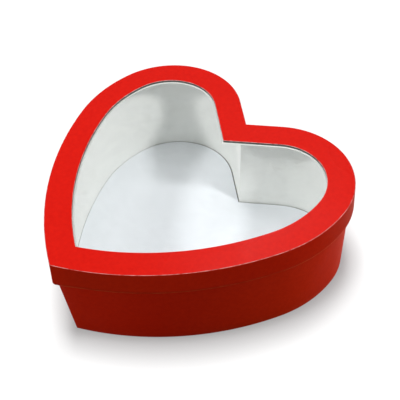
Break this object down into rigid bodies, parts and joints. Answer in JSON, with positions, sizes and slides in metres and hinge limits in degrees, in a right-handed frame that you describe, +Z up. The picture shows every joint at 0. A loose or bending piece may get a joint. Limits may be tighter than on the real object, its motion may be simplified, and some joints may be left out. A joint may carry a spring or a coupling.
{
  "type": "heart-shaped gift box",
  "caption": "Heart-shaped rigid gift box of wrapped board: flared base with white lining and a lift-off lid with a clear heart window.",
  "frame": {"origin": "on the underside, at the middle of the lid's outline", "axes": "+X across the two lobes, -Y towards the tip of the heart, +Z up, the way the lid lifts off"},
  "size_m": [0.2798, 0.2644, 0.097],
  "materials": {
    "red_paper": "smooth coated cover paper with a soft sheen",
    "white_paper": "matt white lining paper and card",
    "greyboard": "raw recycled greyboard",
    "stay_paper": "brown gummed paper tape",
    "clear_film": "clear glossy window film"
  },
  "bodies": {
    "base": {"base_bottom_paper": "red_paper", "base_floor_board": "greyboard", "base_wall_board_right": "greyboard", "base_wall_board_left": "greyboard", "base_tip_stay": "stay_paper", "base_notch_stay": "stay_paper", "base_wrap": "red_paper", "base_wall_liner": "white_paper", "base_floor_card": "white_paper"},
    "lid": {"lid_frame_board": "greyboard", "lid_skirt_board_right": "greyboard", "lid_skirt_board_left": "greyboard", "lid_tip_stay": "stay_paper", "lid_notch_stay": "stay_paper", "lid_top_paper": "red_paper", "lid_skirt_wrap": "red_paper", "window_film": "clear_film", "lid_frame_liner": "white_paper", "lid_skirt_liner": "white_paper"}
  },
  "joints": [
    {"name": "lid_lift", "type": "slide", "parent": "base", "child": "lid", "axis": [0, 0, 1], "range_m": [0, 0.15]}
  ]
}
